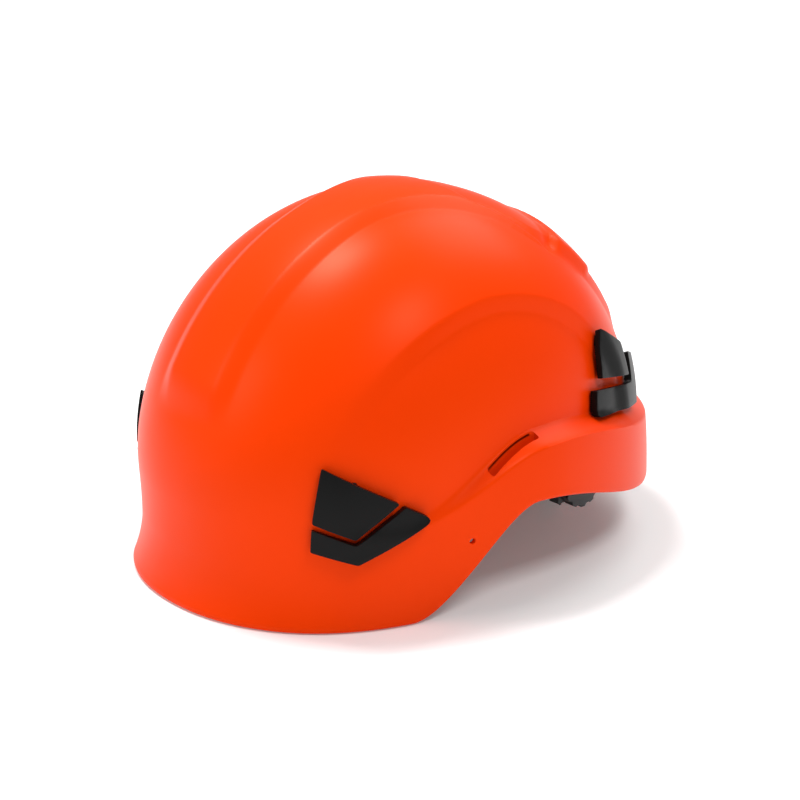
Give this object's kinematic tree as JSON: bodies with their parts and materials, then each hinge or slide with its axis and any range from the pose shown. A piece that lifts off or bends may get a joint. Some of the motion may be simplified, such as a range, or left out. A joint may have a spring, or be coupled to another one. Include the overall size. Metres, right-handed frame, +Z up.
{
  "type": "arborist helmet",
  "caption": "Orange work-at-height helmet with a moulded shell, headlamp clips, textile cradle, wheel-adjusted headband and stowed chin strap.",
  "frame": {"origin": "centre of the bounding box's floor: the plane that the brim and the nape yoke rest on", "axes": "+Z up, -Y towards the front of the helmet, +X towards the wearer's left"},
  "size_m": [0.233, 0.2898, 0.1885],
  "materials": {
    "shell_plastic": "satin moulded",
    "clip_plastic": "satin moulded",
    "spring_steel": "plain",
    "cradle_webbing": "woven polyester",
    "chin_webbing": "woven polyester",
    "pad_fabric": "brushed knit over foam",
    "headband_plastic": "fine texture",
    "wheel_plastic": "satin moulded",
    "gear_plastic": "plain moulded",
    "buckle_plastic": "satin moulded",
    "fitting_plastic": "satin moulded"
  },
  "bodies": {
    "helmet": {"shell_crown": "shell_plastic", "shell_front": "shell_plastic", "shell_nape": "shell_plastic", "shell_temple_left": "shell_plastic", "shell_temple_right": "shell_plastic", "shell_cheek_left": "shell_plastic", "shell_cheek_right": "shell_plastic", "shell_side_left": "shell_plastic", "shell_side_right": "shell_plastic", "shell_rear_left": "shell_plastic", "shell_rear_right": "shell_plastic", "front_clip_left": "clip_plastic", "front_clip_right": "clip_plastic", "rear_clip_left": "clip_plastic", "rear_clip_right": "clip_plastic", "clip_push_nuts": "spring_steel", "cradle_strap_across": "cradle_webbing", "cradle_strap_diagonal_left": "cradle_webbing", "cradle_strap_diagonal_right": "cradle_webbing", "cradle_key_front_left": "fitting_plastic", "cradle_key_front_right": "fitting_plastic", "cradle_key_side_left": "fitting_plastic", "cradle_key_side_right": "fitting_plastic", "cradle_key_rear_left": "fitting_plastic", "cradle_key_rear_right": "fitting_plastic", "crown_pad": "pad_fabric", "headband_front": "headband_plastic", "brow_pad_middle": "pad_fabric", "brow_pad_left": "pad_fabric", "brow_pad_right": "pad_fabric", "pivot_pin_left": "fitting_plastic", "pivot_pin_right": "fitting_plastic", "chin_web_front_left": "chin_webbing", "chin_web_front_right": "chin_webbing", "chin_web_rear_left": "chin_webbing", "chin_web_rear_right": "chin_webbing", "chin_web_key_left": "fitting_plastic", "chin_web_key_right": "fitting_plastic", "strap_divider_left": "buckle_plastic", "strap_divider_right": "buckle_plastic", "chin_strap_left": "chin_webbing", "chin_strap_right": "chin_webbing", "strap_keeper": "buckle_plastic", "buckle_socket": "buckle_plastic"},
    "front_flap_left": {"front_clip_flap_left": "clip_plastic"},
    "front_flap_right": {"front_clip_flap_right": "clip_plastic"},
    "rear_flap_left": {"rear_clip_flap_left": "clip_plastic"},
    "rear_flap_right": {"rear_clip_flap_right": "clip_plastic"},
    "rear_arms": {"rear_arm_left": "headband_plastic", "rear_arm_right": "headband_plastic"},
    "nape_unit": {"nape_yoke": "headband_plastic", "nape_pad": "pad_fabric", "adjuster_cover_left": "fitting_plastic", "adjuster_cover_right": "fitting_plastic", "detent_spring_left": "spring_steel", "detent_spring_right": "spring_steel"},
    "wheel_left": {"adjuster_wheel_left": "wheel_plastic", "pinion_left": "gear_plastic"},
    "wheel_right": {"adjuster_wheel_right": "wheel_plastic", "pinion_right": "gear_plastic"},
    "buckle_plug": {"buckle_plug": "buckle_plastic"},
    "prong_upper": {"buckle_prong_upper": "buckle_plastic"},
    "prong_lower": {"buckle_prong_lower": "buckle_plastic"}
  },
  "joints": [
    {"name": "front_flap_left_flex", "type": "hinge", "parent": "helmet", "child": "front_flap_left", "pos_m": [0.08296, -0.09231, 0.07298], "axis": [-0.5092, -0.7285, 0.4582], "range_deg": [0, 8], "stiffness_Nm_per_rad": 0.15},
    {"name": "front_flap_right_flex", "type": "hinge", "parent": "helmet", "child": "front_flap_right", "pos_m": [-0.08296, -0.09231, 0.07298], "axis": [-0.5092, 0.7285, -0.4582], "range_deg": [0, 8], "stiffness_Nm_per_rad": 0.15},
    {"name": "rear_flap_left_flex", "type": "hinge", "parent": "helmet", "child": "rear_flap_left", "pos_m": [0.08185, 0.07034, 0.11131], "axis": [0.2361, -0.8451, 0.4796], "range_deg": [0, 8], "stiffness_Nm_per_rad": 0.15},
    {"name": "rear_flap_right_flex", "type": "hinge", "parent": "helmet", "child": "rear_flap_right", "pos_m": [-0.08185, 0.07034, 0.11131], "axis": [0.2361, 0.8451, -0.4796], "range_deg": [0, 8], "stiffness_Nm_per_rad": 0.15},
    {"name": "nape_flip", "type": "hinge", "parent": "helmet", "child": "rear_arms", "pos_m": [0, -0.0119, 0.046], "axis": [1, 0, 0], "range_deg": [0, 35]},
    {"name": "nape_slide", "type": "slide", "parent": "rear_arms", "child": "nape_unit", "axis": [0, 1, 0], "range_m": [-0.01, 0]},
    {"name": "wheel_left_turn", "type": "hinge", "parent": "nape_unit", "child": "wheel_left", "pos_m": [0.077, 0.0601, 0.034], "axis": [1, 0, 0], "range_deg": [-115, 0]},
    {"name": "wheel_right_turn", "type": "hinge", "parent": "nape_unit", "child": "wheel_right", "pos_m": [-0.077, 0.0601, 0.034], "axis": [1, 0, 0], "range_deg": [-115, 0]},
    {"name": "buckle_release", "type": "slide", "parent": "helmet", "child": "buckle_plug", "axis": [-1, 0, 0], "range_m": [0, 0.016], "deforming": ["chin_strap_right"]},
    {"name": "prong_upper_squeeze", "type": "hinge", "parent": "buckle_plug", "child": "prong_upper", "pos_m": [-0.007, -0.1209, 0.0206], "axis": [0, 1, 0], "range_deg": [0, 4], "stiffness_Nm_per_rad": 0.05},
    {"name": "prong_lower_squeeze", "type": "hinge", "parent": "buckle_plug", "child": "prong_lower", "pos_m": [-0.007, -0.1209, 0.0074], "axis": [0, -1, 0], "range_deg": [0, 4], "stiffness_Nm_per_rad": 0.05}
  ],
  "couplings": [
    {"joint": "wheel_left_turn", "follows": "nape_slide", "rad_per_m": 200},
    {"joint": "wheel_right_turn", "follows": "nape_slide", "rad_per_m": 200}
  ]
}
